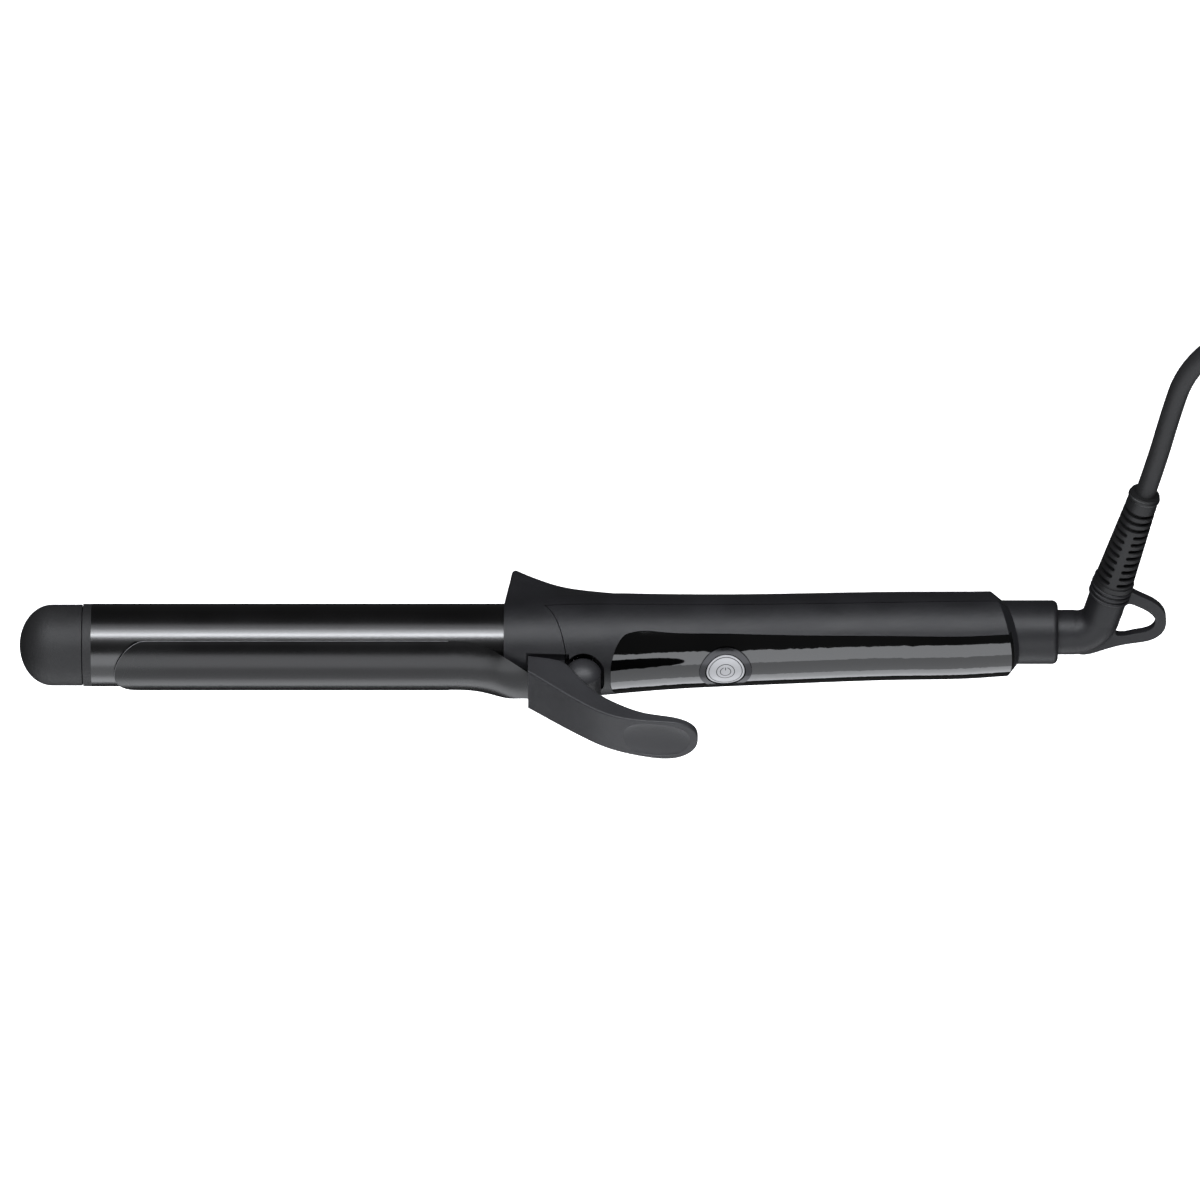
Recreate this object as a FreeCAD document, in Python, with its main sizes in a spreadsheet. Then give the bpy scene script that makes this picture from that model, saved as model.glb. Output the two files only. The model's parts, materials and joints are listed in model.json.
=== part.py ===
import FreeCAD, Part
import Sketcher
import math
import os

App = FreeCAD
V = App.Vector
doc = App.newDocument("curling_iron")

# ---------------------------------------------------------------- driving sizes, in millimetres and degrees
# Design axes: X runs along the barrel from the tip to the tail, zero at the front of the handle, Z points to the
# lever, and zero height is the barrel's axis.
SIZES = {
    "barrel_radius": 12.7, "barrel_wall": 0.8, "barrel_length": 126.3, "barrel_tail": 14,
    "cap_radius": 12.45, "cap_length": 19.6, "cap_dome": 10.1, "cap_gap": 0.3, "band_radius": 12.65, "band_width": 2.6,
    "clip_air": 0.15, "clip_sheet": 0.95, "clip_reach": 119.1, "clip_half_width": 10.1, "clip_end": 9.7,
    "shell_wall": 2.4, "panel_depth": 1.2, "seam_gap": 0.25,
    "pivot_along": 24.2, "pivot_height": 16.7, "pivot_radius": 1.5, "knuckle_radius": 6,
    "button_along": 67.8, "button_radius": 5.8, "bezel_radius": 8, "button_travel": 1.2,
    "board_length": 70, "board_width": 15, "board_thickness": 1.6, "board_start": 46, "board_height": 0,
    "tail_height": -5.9, "collar_radius": 9.8, "collar_start": 142, "collar_end": 169.8,
    "neck_radius": 6.9, "swivel_clearance": 0.07, "spigot_radius": 4.6, "ring_radius": 5.6,
    "outlet_radius": 5.9, "relief_base": 6.07, "relief_top": 4.6, "relief_length": 35.4,
    "cord_radius": 3.175, "coil_radius": 35, "coil_height": 19,
    "pin_radius": 2, "pin_length": 19, "pin_spacing": 18.6, "plug_length": 34, "plug_width": 34, "plug_height": 13.7,
}

sheet = doc.addObject("Spreadsheet::Sheet", "Sizes")
for row, (alias, number) in enumerate(SIZES.items(), start=1):
    sheet.set(f"A{row}", alias)
    sheet.set(f"B{row}", str(number))
    sheet.setAlias(f"B{row}", alias)
doc.recompute()


def size(alias):
    """A driving size, read from the sheet."""
    return float(sheet.get(alias))


# ---------------------------------------------------------------- how the iron rests on a table
HEEL_ALONG = 5.0        # where the middle of the heel's flat lies, along the barrel
HEEL_DEPTH = 22.3       # how far the heel's flat is below the barrel's axis
TAIL_ALONG = 150.0      # where the handle's tail touches the table
TAIL_DEPTH = 18.0
TILT = math.degrees(math.atan2(HEEL_DEPTH - TAIL_DEPTH, TAIL_ALONG - HEEL_ALONG))
REST_TURN = App.Rotation(V(0, 1, 0), TILT)
REST = App.Placement(-REST_TURN.multVec(V(HEEL_ALONG, 0, -HEEL_DEPTH)), REST_TURN)

ALONG_X = App.Rotation(V(0, 1, 0), 90)
ALONG_Y = App.Rotation(V(1, 0, 0), -90)
nodes = []


def keep(item, name, placement=REST):
    """List an object as one of the iron's pieces, under its own name, lying as the iron rests."""
    item.Label = name
    item.Placement = placement
    nodes.append(item)
    return item


def merged(shape):
    """The shape with its split faces merged, or the shape itself where merging can't leave a valid one."""
    try:
        whole = shape.copy().removeSplitter()
    except Part.OCCError:
        return shape
    return whole if whole.isValid() else shape


def shaped(name, shape, placement=REST):
    """A piece whose shape is made by the functions below."""
    item = doc.addObject("Part::Feature", name)
    item.Shape = merged(shape)
    return keep(item, name, placement)


def rod(start, end, radius):
    """A round rod between two points."""
    return Part.makeCylinder(radius, (end - start).Length, start, end - start)


def slab(x, y, z):
    """A box from three (low, high) pairs."""
    return Part.makeBox(x[1] - x[0], y[1] - y[0], z[1] - z[0], V(x[0], y[0], z[0]))


def less(base, *tools):
    """The base with each tool cut away. Copies are used, because a boolean can alter what it is given."""
    for tool in tools:
        base = base.copy().cut(tool.copy())
    return base


def plus(base, *others):
    for other in others:
        base = base.copy().fuse(other.copy())
    return base


def both(first, second):
    return first.copy().common(second.copy())


def prism(outline, low, high):
    """A solid with a plan outline of (x, y) points, between two heights."""
    corners = [V(x, y, low) for x, y in outline]
    return Part.Face(Part.makePolygon(corners + corners[:1])).extrude(V(0, 0, high - low))


# ---------------------------------------------------------------- bodies drawn in Sketcher and padded
def plane_of(body, role):
    return next(plane for plane in body.Origin.OriginFeatures if plane.Role == role)


def padded_ring(name, outer, inner, start, length, height="0"):
    """A body padded along X from one circle, or from two for a tube. Every size is a formula of the sheet."""
    body = doc.addObject("PartDesign::Body", name)
    sketch = body.newObject("Sketcher::SketchObject", name + "_section")
    sketch.AttachmentSupport = [(plane_of(body, "YZ_Plane"), "")]
    sketch.MapMode = "FlatFace"
    sketch.setExpression(".AttachmentOffset.Base.z", start)
    sketch.setExpression(".AttachmentOffset.Base.y", height)
    for formula in [outer] + ([inner] if inner else []):
        circle = sketch.addGeometry(Part.Circle(V(0, 0, 0), V(0, 0, 1), 5), False)
        sketch.addConstraint(Sketcher.Constraint("Coincident", circle, 3, -1, 1))
        number = sketch.addConstraint(Sketcher.Constraint("Radius", circle, 5))
        sketch.setExpression(f"Constraints[{number}]", formula)
    pad = body.newObject("PartDesign::Pad", name + "_pad")
    pad.Profile = sketch
    pad.setExpression("Length", length)
    body.Tip = pad
    return body


def drilled_plate(name, x, y, z, length, width, thickness, holes, radius):
    """A body padded up from a rectangle, with round holes pocketed through it."""
    body = doc.addObject("PartDesign::Body", name)
    outline = body.newObject("Sketcher::SketchObject", name + "_outline")
    outline.AttachmentSupport = [(plane_of(body, "XY_Plane"), "")]
    outline.MapMode = "FlatFace"
    outline.setExpression(".AttachmentOffset.Base.x", x)
    outline.setExpression(".AttachmentOffset.Base.y", y)
    outline.setExpression(".AttachmentOffset.Base.z", z)
    corners = [V(0, 0, 0), V(10, 0, 0), V(10, 5, 0), V(0, 5, 0)]
    for number in range(4):
        outline.addGeometry(Part.LineSegment(corners[number], corners[(number + 1) % 4]), False)
    for number in range(4):
        outline.addConstraint(Sketcher.Constraint("Coincident", number, 2, (number + 1) % 4, 1))
    outline.addConstraint(Sketcher.Constraint("Horizontal", 0))
    outline.addConstraint(Sketcher.Constraint("Horizontal", 2))
    outline.addConstraint(Sketcher.Constraint("Vertical", 1))
    outline.addConstraint(Sketcher.Constraint("Vertical", 3))
    outline.addConstraint(Sketcher.Constraint("Coincident", 0, 1, -1, 1))
    across = outline.addConstraint(Sketcher.Constraint("DistanceX", 0, 1, 0, 2, 10))
    outline.setExpression(f"Constraints[{across}]", length)
    deep = outline.addConstraint(Sketcher.Constraint("DistanceY", 1, 1, 1, 2, 5))
    outline.setExpression(f"Constraints[{deep}]", width)
    pad = body.newObject("PartDesign::Pad", name + "_pad")
    pad.Profile = outline
    pad.setExpression("Length", thickness)
    body.Tip = pad
    doc.recompute()
    solid_volume = pad.Shape.Volume
    drill = body.newObject("Sketcher::SketchObject", name + "_holes")
    drill.AttachmentSupport = [(plane_of(body, "XY_Plane"), "")]
    drill.MapMode = "FlatFace"
    for along, across_at in holes:
        circle = drill.addGeometry(Part.Circle(V(along, across_at, 0), V(0, 0, 1), radius), False)
        drill.addConstraint(Sketcher.Constraint("DistanceX", -1, 1, circle, 3, along))
        drill.addConstraint(Sketcher.Constraint("DistanceY", -1, 1, circle, 3, across_at))
        drill.addConstraint(Sketcher.Constraint("Radius", circle, radius))
    pocket = body.newObject("PartDesign::Pocket", name + "_drilling")
    pocket.Profile = drill
    pocket.Type = "ThroughAll"
    pocket.Midplane = True
    body.Tip = pocket
    doc.recompute()
    assert pocket.Shape.Volume < solid_volume
    return body


def primitive(kind, name, place, **formulas):
    """A Part primitive with every size bound to the sheet."""
    item = doc.addObject("Part::" + kind, name)
    item.Placement = place
    for field, formula in formulas.items():
        item.setExpression(field, formula)
    return item


def joined(kind, name, base, tool):
    """A Part::Cut or Part::Fuse of two objects."""
    item = doc.addObject("Part::" + kind, name)
    item.Base = base
    item.Tool = tool
    return item


# ---------------------------------------------------------------- barrel, tip and heater
keep(padded_ring("barrel", "Sizes.barrel_radius", "Sizes.barrel_radius - Sizes.barrel_wall",
                 "-Sizes.barrel_length", "Sizes.barrel_length + Sizes.barrel_tail"), "barrel")
keep(padded_ring("tip_ring", "Sizes.band_radius", "Sizes.band_radius - 3", "-Sizes.barrel_length - Sizes.band_width",
                 "Sizes.band_width"), "tip_ring")

CAP_WALL = 2.2
CAP_SPIGOT = 8.0        # how far the cap's spigot reaches into the barrel
cap_back = -size("barrel_length") - size("band_width")
cap_dome_at = cap_back - size("cap_length") + size("cap_dome")
dome = primitive("Ellipsoid", "cap_dome", App.Placement(V(cap_dome_at, 0, 0), ALONG_X),
                 Radius1="Sizes.cap_dome", Radius2="Sizes.cap_radius", Radius3="Sizes.cap_radius")
skirt = primitive("Cylinder", "cap_skirt", App.Placement(V(cap_dome_at, 0, 0), ALONG_X),
                  Radius="Sizes.cap_radius", Height="Sizes.cap_length - Sizes.cap_dome - Sizes.cap_gap")
spigot = primitive("Cylinder", "cap_spigot", App.Placement(V(cap_back - 2, 0, 0), ALONG_X),
                   Radius="Sizes.band_radius - 3.1", Height=f"Sizes.band_width + {CAP_SPIGOT + 2}")
hollow = primitive("Cylinder", "cap_hollow", App.Placement(V(cap_dome_at - 5, 0, 0), ALONG_X),
                   Radius="Sizes.band_radius - 5", Height="Sizes.cap_length + Sizes.band_width + 5")
cap_body = joined("Fuse", "cap_body", joined("Fuse", "cap_outside", dome, skirt), spigot)
keep(joined("Cut", "tip_cap", cap_body, hollow), "tip_cap")

HEATER_FROM, HEATER_TO = -112.0, -6.0
ELEMENT_WIDTH, ELEMENT_THICKNESS = 12.0, 3.0
spreader_radius = size("barrel_radius") - size("barrel_wall") - 0.05
spreader_core = rod(V(HEATER_FROM, 0, 0), V(HEATER_TO, 0, 0), spreader_radius)
for name, side in (("heat_spreader_upper", 1), ("heat_spreader_lower", -1)):
    half = spreader_core.common(slab((HEATER_FROM, HEATER_TO), (-20, 20),
                                     sorted((side * ELEMENT_THICKNESS / 2, side * 20))))
    for across in (-1, 1):
        half = half.cut(rod(V(HEATER_FROM - 1, across * 5.2, side * 5.6), V(HEATER_TO + 1, across * 5.2, side * 5.6),
                            2.1))
    shaped(name, half)
heater = primitive("Box", "heating_element_block", App.Placement(V(HEATER_FROM + 10, -ELEMENT_WIDTH / 2,
                                                                  -ELEMENT_THICKNESS / 2), App.Rotation()))
heater.Length = HEATER_TO - HEATER_FROM - 20
heater.Width = ELEMENT_WIDTH
heater.Height = ELEMENT_THICKNESS
keep(joined("Cut", "heating_element", heater,
            primitive("Box", "element_notch", App.Placement(V(HEATER_TO - 14, -1, -5), App.Rotation()))),
     "heating_element")

MOUNT_SPIGOT, MOUNT_BORE, MOUNT_FLANGE = 11.8, 8.5, 1.2
mount_face = size("barrel_tail")
shaped("barrel_mount",
       rod(V(4, 0, 0), V(mount_face, 0, 0), MOUNT_SPIGOT)
       .fuse(rod(V(mount_face, 0, 0), V(mount_face + MOUNT_FLANGE, 0, 0), size("barrel_radius")))
       .cut(rod(V(0, 0, 0), V(20, 0, 0), MOUNT_BORE)))

LEAD_RADIUS = 0.9
lead_ends = [(rod(V(-5.5, across, -3.5), V(44, across, -3.5), LEAD_RADIUS)) for across in (-5.0, 5.0)]
shaped("lead_wires", Part.makeCompound(lead_ends))
FUSE_HEIGHT = -3.5
fuse_link = rod(V(19, 0, FUSE_HEIGHT), V(31, 0, FUSE_HEIGHT), 2.0)
shaped("thermal_fuse", fuse_link.fuse(rod(V(16, 0, FUSE_HEIGHT), V(35.5, 0, FUSE_HEIGHT), 0.5)))

# ---------------------------------------------------------------- the handle's outside
# Stations along the handle: place, radius, height of the middle, reach of the heel's two corners.
STATIONS = (
    (-4.0, 14.6, 0.0, 28.4), (0.0, 14.8, 0.0, 27.0), (4.0, 15.1, 0.0, 25.4), (8.0, 15.35, 0.0, 23.4),
    (11.0, 15.5, 0.0, 22.1), (14.1, 15.6, 0.0, 20.85), (17.2, 15.7, 0.0, 19.85), (23.3, 15.75, 0.0, 18.6),
    (29.4, 15.65, -0.3, 17.6), (35.6, 15.4, -0.76, 16.5), (44.0, 14.95, -1.2, 0), (54.0, 14.53, -1.65, 0),
    (66.2, 14.2, -2.08, 0), (90.7, 13.84, -3.05, 0), (121.4, 13.56, -4.19, 0), (146.0, 13.3, -4.72, 0),
    (166.0, 13.1, -5.0, 0),
)
HEEL_SPREAD = math.radians(23.5)    # the heel's corners stand this far either side of straight down
SECTION_POINTS = 44


def handle_section(along, radius, middle, reach, inset):
    """A closed curve round the handle: a circle, drawn out below to the flat-based heel."""
    radius -= inset
    corner = max(reach - inset, radius)
    leaves = HEEL_SPREAD + math.acos(radius / corner)
    points = []
    for number in range(SECTION_POINTS):
        turn = 2 * math.pi * number / SECTION_POINTS
        away = min(turn, 2 * math.pi - turn)
        reached = radius
        if away <= HEEL_SPREAD:
            reached = corner * math.cos(HEEL_SPREAD) / math.cos(away)
        elif away < leaves:
            reached = radius / math.cos(away - leaves)
        reached = max(reached, radius)
        points.append(V(along, reached * math.sin(turn), middle - reached * math.cos(turn)))
    curve = Part.BSplineCurve()
    curve.interpolate(points, PeriodicFlag=True)
    return Part.Wire(curve.toShape())


def handle_solid(inset, heel=True):
    """The handle's outside moved inwards by the inset, longer than the handle at both ends."""
    wires = [handle_section(along, radius, middle, reach if heel else 0, inset)
             for along, radius, middle, reach in STATIONS]
    return Part.makeLoft(wires, True, False)


FAR = 60.0
FRONT_LEAN = 7.2        # the heel's front face leans this much, its foot nearest the tail
TAIL_LEAN = 17.0        # the handle's end face leans by this much
TAIL_LOW = 151.0        # where the end face meets the handle's underside


def leaning_block(along, height, lean, forwards):
    """A large block with one face through (along, height), leaning towards the tail as it goes down or up."""
    block = slab((-FAR, 0), (-FAR, FAR), (-FAR, FAR)) if forwards else slab((0, FAR), (-FAR, FAR), (-FAR, FAR))
    block.Placement = App.Placement(V(along, 0, height), App.Rotation(V(0, 1, 0), lean))
    return block


def trimmed(solid):
    """Cut the handle's raw loft to its front faces, its heel's flat and its slanting end."""
    table = slab((-300, 300), (-FAR, FAR), (-FAR, 0))
    table.Placement = REST.inverse()
    return less(solid, slab((-FAR, 0), (-FAR, FAR), (-FAR, FAR)), leaning_block(0, -3.3, -FRONT_LEAN, True),
                leaning_block(TAIL_LOW, -17.5, TAIL_LEAN, False), table)


outside = trimmed(handle_solid(0))
END_CHAMFER = 3.2
end_rim = [edge for edge in outside.Edges if edge.BoundBox.XMin > 145 and edge.BoundBox.YLength > 15]
outside = outside.makeChamfer(END_CHAMFER, end_rim)
FOOT_ROUNDING = 1.2
front_rim = [edge for edge in outside.Edges if edge.BoundBox.XMax < 3 and edge.BoundBox.ZMin < -20]
outside = outside.makeFillet(FOOT_ROUNDING, front_rim)
CAVITY_END = 138.5
cavity = both(handle_solid(size("shell_wall"), heel=False), slab((15, CAVITY_END), (-FAR, FAR), (-FAR, FAR)))
bore_air = 0.1
barrel_bore = rod(V(-5, 0, 0), V(mount_face + MOUNT_FLANGE + 0.1, 0, 0), size("barrel_radius") + bore_air)
collar_hole = rod(V(CAVITY_END - 4, 0, size("tail_height")), V(200, 0, size("tail_height")),
                  size("collar_radius") + bore_air)

# The hinge well: a moulded pocket in the handle that the lever's knuckle turns in.
pivot = V(size("pivot_along"), 0, size("pivot_height"))
WELL_AIR, WELL_WALL, WELL_HALF = 0.7, 1.6, 8.5


def across_rod(centre, radius, half):
    """A round rod across the iron, centred on the symmetry plane."""
    return rod(centre - V(0, half, 0), centre + V(0, half, 0), radius)


well_radius = size("knuckle_radius") + WELL_AIR
well_round = Part.Face(Part.Wire(Part.Ellipse(V(0, 0, 0), WELL_HALF, well_radius + 0.5).toShape())).extrude(V(0, 0, FAR))
well_round.Placement = App.Placement(V(pivot.x, 0, 0), App.Rotation(V(0, 0, 1), 90))
well = both(across_rod(pivot, well_radius, WELL_HALF), well_round)
well_wall = both(across_rod(pivot, well_radius + WELL_WALL, WELL_HALF + WELL_WALL), outside)

# The lever's cheeks sink a little into the nose, in two grooves.
GROOVE_FROM, GROOVE_TO = 6.9, 20.0
grooves = [prism(((GROOVE_FROM, side * 5.3), (GROOVE_TO, side * 5.3), (GROOVE_TO, side * 8.3),
                  (GROOVE_FROM, side * 8.3)), 12.75, 30) for side in (-1, 1)]

# ---------------------------------------------------------------- hinge bracket, pin and spring
EAR_INNER, EAR_OUTER, EAR_HALF = 2.4, 3.5, 2.8
BRACKET_LOW = 5.6
bracket_plate = slab((18.5, 31), (-EAR_OUTER, EAR_OUTER), (BRACKET_LOW, BRACKET_LOW + 1.4))
ears = []
for side in (-1, 1):
    low, high = sorted((side * EAR_INNER, side * EAR_OUTER))
    ear = slab((pivot.x - EAR_HALF, pivot.x + EAR_HALF), (low, high), (BRACKET_LOW, pivot.z))
    ear = ear.fuse(rod(V(pivot.x, low, pivot.z), V(pivot.x, high, pivot.z), EAR_HALF))
    ears.append(ear)
bracket = bracket_plate.fuse(ears[0]).fuse(ears[1]).removeSplitter()
pin_hole = across_rod(pivot, size("pivot_radius"), 12)
shaped("hinge_bracket", bracket.cut(pin_hole))
ear_slots = slab((pivot.x - EAR_HALF - 0.3, pivot.x + EAR_HALF + 0.3), (-EAR_OUTER - 0.3, EAR_OUTER + 0.3),
                 (BRACKET_LOW - 1, pivot.z))
PIN_HALF = 5.4
shaped("pivot_pin", across_rod(pivot, size("pivot_radius"), PIN_HALF))

SPRING_WIRE, SPRING_MEAN, SPRING_END = 0.35, 2.1, 1.7
BRIDGE_WIRE, LEG_WIRE = 0.22, 0.28
spring_turns = [Part.makeTorus(SPRING_MEAN, SPRING_WIRE, pivot + V(0, across, 0), V(0, 1, 0))
                for across in (-SPRING_END, -SPRING_END / 2, 0.0, SPRING_END / 2, SPRING_END)]
spring_bridge = rod(pivot + V(0, -SPRING_END, -SPRING_MEAN), pivot + V(0, SPRING_END, -SPRING_MEAN), BRIDGE_WIRE)
spring_leg = rod(pivot + V(0, -SPRING_END, -SPRING_MEAN), pivot + V(2.6, -SPRING_END, -SPRING_MEAN - 5.0),
                 LEG_WIRE)
spring = spring_bridge
for wire in spring_turns + [spring_leg]:
    spring = plus(spring, wire)
shaped("clip_spring", spring)

# ---------------------------------------------------------------- casing shells and the glossy inlay
SEAM_FRONT, SEAM_FRONT_HEIGHT = 12.0, -1.0
SEAM_BACK, SEAM_BACK_HEIGHT = 150.0, -5.6
seam_slope = (SEAM_BACK_HEIGHT - SEAM_FRONT_HEIGHT) / (SEAM_BACK - SEAM_FRONT)
NOSE_CREASE = ((12.3, -1.0), (13.6, 0.6), (15.6, 4.0), (17.4, 8.6), (19.0, 13.8))


def seam_height(along):
    return SEAM_FRONT_HEIGHT + seam_slope * (along - SEAM_FRONT)


def side_region(points):
    """Everything inside a side outline of (x, z) points, right across the iron."""
    corners = [V(x, -FAR, z) for x, z in points]
    return Part.Face(Part.makePolygon(corners + corners[:1])).extrude(V(0, 2 * FAR, 0))


def heel_side(grow):
    """The one-piece back shell and nose, seen from the side, moved into the front shell by a small gap."""
    crease = [(along + grow, height) for along, height in NOSE_CREASE]
    return side_region([(-10, -FAR), (220, -FAR), (220, seam_height(220) + grow),
                        (crease[0][0] + grow, seam_height(crease[0][0]) + grow)] + crease[1:]
                       + [(crease[-1][0] + 1.5, FAR), (-10, FAR)])


heel_region = heel_side(0)
casing = plus(less(outside, cavity), less(well_wall, barrel_bore))
casing = less(casing, barrel_bore, collar_hole, well, ear_slots, *grooves)

# Glossy inlay: its plan outline has rounded front corners and tapers to the tail.
PANEL_FRONT, PANEL_SHOULDER, PANEL_FRONT_HALF = 32.6, 38.5, 12.2
PANEL_SIDE = ((50.0, 11.65), (64.0, 10.95), (84.0, 10.1), (106.0, 9.3), (130.0, 8.75), (175.0, 8.2))


def panel_prism(grow):
    """The inlay's plan outline, carried up from the middle of the handle."""
    quarter = []
    for number in range(7):
        turn = math.pi / 2 * number / 6
        quarter.append((PANEL_SHOULDER - (PANEL_SHOULDER - PANEL_FRONT + grow) * math.cos(turn),
                        (PANEL_FRONT_HALF + grow) * math.sin(turn) ** 0.8))
    quarter += [(along, half + grow) for along, half in PANEL_SIDE]
    front = quarter[0][0]
    curve = Part.BSplineCurve()
    around = [V(x, -y, 0) for x, y in reversed(quarter[1:])] + [V(front, 0, 0)] + [V(x, y, 0) for x, y in quarter[1:]]
    curve.interpolate(around)
    closing = Part.LineSegment(around[-1], around[0])
    return Part.Face(Part.Wire([curve.toShape(), closing.toShape()])).extrude(V(0, 0, FAR))


button_spot = V(size("button_along"), 0, 0)
panel_floor = handle_solid(size("panel_depth"), heel=False)
panel_skin = less(outside, panel_floor)
recess = both(panel_prism(0.12), less(outside, handle_solid(size("panel_depth") + 0.05, heel=False)))
bezel_hole = Part.makeCylinder(size("bezel_radius") + 0.1, FAR, button_spot)
button_hole = Part.makeCylinder(size("button_radius") + 0.45, FAR, button_spot)
shaped("gloss_panel", less(both(panel_skin, panel_prism(0)), bezel_hole, collar_hole))

SCREW_PLACES = ((40.0, 12.1), (130.0, 8.0))     # along the handle, and the top of the boss there
SCREW_RADIUS, SCREW_HEAD, BOSS_RADIUS = 1.3, 2.6, 3.0
front_shell = less(casing, heel_side(size("seam_gap")), recess, button_hole)
heel_shell = both(casing, heel_region)
screws = []
for along, boss_top in SCREW_PLACES:
    low = seam_height(along)
    boss = rod(V(along, 0, low + 0.1), V(along, 0, boss_top), BOSS_RADIUS)
    post = both(rod(V(along, 0, -FAR / 2), V(along, 0, low - 0.1), BOSS_RADIUS), outside)
    shank = rod(V(along, 0, -14), V(along, 0, low + 7), SCREW_RADIUS)
    head = rod(V(along, 0, -14), V(along, 0, -12.4), SCREW_HEAD)
    access = rod(V(along, 0, -FAR / 2), V(along, 0, -12.4), SCREW_HEAD + 0.3)
    front_shell = less(plus(front_shell, boss), rod(V(along, 0, -20), V(along, 0, low + 7.2), SCREW_RADIUS))
    heel_shell = less(plus(heel_shell, post), access,
                      rod(V(along, 0, -20), V(along, 0, low + 1), SCREW_RADIUS + 0.1))
    screws.append(head.fuse(shank).cut(slab((along - 3, along + 3), (-0.3, 0.3), (-14.1, -13.5))))
shaped("front_shell", front_shell)
shaped("heel_shell", heel_shell)
shaped("handle_screws", Part.makeCompound(screws))

# ---------------------------------------------------------------- button, switch and board
BEZEL_PROUD = 0.35
bezel_ring = Part.makeCylinder(size("bezel_radius"), FAR, button_spot)
bezel_ring = bezel_ring.cut(Part.makeCylinder(size("button_radius") + 0.4, FAR, button_spot))
shaped("button_bezel", both(less(handle_solid(-BEZEL_PROUD, heel=False), panel_floor), bezel_ring))
CAP_LOW, STEM_LOW, STEM_RADIUS = 8.9, 7.8, 2.0
cap_column = Part.makeCylinder(size("button_radius"), 30, V(size("button_along"), 0, CAP_LOW))
button_cap = both(cap_column, handle_solid(-0.15, heel=False))
shaped("power_button", button_cap.fuse(rod(V(size("button_along"), 0, STEM_LOW), V(size("button_along"), 0, CAP_LOW),
                                           STEM_RADIUS)))
board_top = size("board_height") + size("board_thickness")
switch_case = slab((size("button_along") - 4, size("button_along") + 4), (-4, 4), (board_top, board_top + 3.4))
shaped("power_switch", switch_case.fuse(Part.makeCylinder(1.4, 1.2, V(size("button_along"), 0, board_top + 3.4))))
BOARD_HOLES = ((50.0, 4.5), (50.0, -4.5), (112.0, 4.5), (112.0, -4.5))
keep(drilled_plate("circuit_board", "Sizes.board_start", "-Sizes.board_width / 2", "Sizes.board_height",
                   "Sizes.board_length", "Sizes.board_width", "Sizes.board_thickness", BOARD_HOLES, 1.25),
     "circuit_board")
board_screws = [rod(V(x, y, -4), V(x, y, board_top), 1.2).fuse(rod(V(x, y, board_top), V(x, y, board_top + 1.2), 2.2))
                for x, y in BOARD_HOLES]
shaped("board_screws", Part.makeCompound(board_screws))

# ---------------------------------------------------------------- clip, lever and rivets
# Stations along the clip: place, half width, outer radius, height of the crown.
sheet_top = size("barrel_radius") + size("clip_air") + size("clip_sheet")
CLIP_STATIONS = (
    (-22.0, 10.1, sheet_top, sheet_top), (-17.0, 10.1, sheet_top, sheet_top), (-11.5, 10.05, sheet_top, 13.95),
    (-6.4, 9.6, 14.0, 14.9), (-1.2, 8.7, 15.5, 16.75), (4.0, 6.9, 20.0, 18.1), (7.5, 5.4, 25.0, 19.2),
    (12.0, 5.2, 40.0, 21.9), (17.0, 5.2, 60.0, 25.9),
)


def strip_wire(along, half, radius, crown, slope=0.0):
    """The clip's cross-section: a curved strip of sheet metal."""
    sheet_metal = size("clip_sheet")
    middle = crown - radius
    edge = math.asin(half / radius)
    rims = []
    for reach in (radius, radius - sheet_metal):
        rims.append([V(along, reach * math.sin(turn), middle + reach * math.cos(turn)) for turn in (-edge, 0, edge)])
    outer, inner = rims
    edges = [Part.Arc(outer[0], outer[1], outer[2]).toShape(), Part.LineSegment(outer[2], inner[2]).toShape(),
             Part.Arc(inner[2], inner[1], inner[0]).toShape(), Part.LineSegment(inner[0], outer[0]).toShape()]
    return Part.Wire(edges)


tang = Part.makeLoft([strip_wire(*station) for station in CLIP_STATIONS], True, False)
tang = tang.common(slab((-17.0, 30), (-FAR, FAR), (-FAR, FAR)))
blade_section = Part.Face(strip_wire(-size("clip_reach"), size("clip_half_width"), sheet_top, sheet_top))
blade = blade_section.extrude(V(size("clip_reach") - 17.0, 0, 0))
tip_ellipse = Part.Ellipse(V(0, 0, 0), size("clip_half_width"), size("clip_end")).toShape()
tip_plan = Part.Face(Part.Wire(tip_ellipse)).extrude(V(0, 0, FAR))
tip_plan.Placement = App.Placement(V(-size("clip_reach") + size("clip_end"), 0, 0), App.Rotation(V(0, 0, 1), 90))
blade_plan = tip_plan.fuse(slab((-size("clip_reach") + size("clip_end"), 0), (-20, 20), (0, FAR)))
blade = blade.common(blade_plan)
RIVET_PLACES = ((11.5, 21.3), (15.5, 24.5))
RIVET_RADIUS = 1.2
lean_up = V(-0.62, 0, 0.785)
rivet_holes = [rod(V(x, 0, z) - lean_up * 4, V(x, 0, z) + lean_up * 4, RIVET_RADIUS) for x, z in RIVET_PLACES]
clip_solid = tang.fuse(blade).removeSplitter()
for hole in rivet_holes:
    clip_solid = clip_solid.cut(hole)
shaped("clip", clip_solid)

# Lever, side view: the outer face from the front to the thumb tip, then the inner edge back again.
LEVER_OUTER = ((7.4, 20.5), (12.3, 24.6), (17.2, 28.8), (23.4, 33.8), (29.7, 38.2), (35.9, 41.0), (42.2, 42.6),
               (48.4, 43.4), (54.0, 43.5), (60.0, 43.0))
LEVER_INNER = ((60.0, 40.4), (54.0, 40.7), (48.4, 40.1), (42.2, 38.3), (35.9, 34.8), (30.9, 31.2), (27.6, 28.1),
               (22.7, 21.9), (18.1, 15.6), (12.3, 13.9), (7.4, 13.2))
LEVER_HALF, LEVER_TIP, CHEEK_INNER, WEB = 7.7, 59.2, 5.6, 2.4


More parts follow.
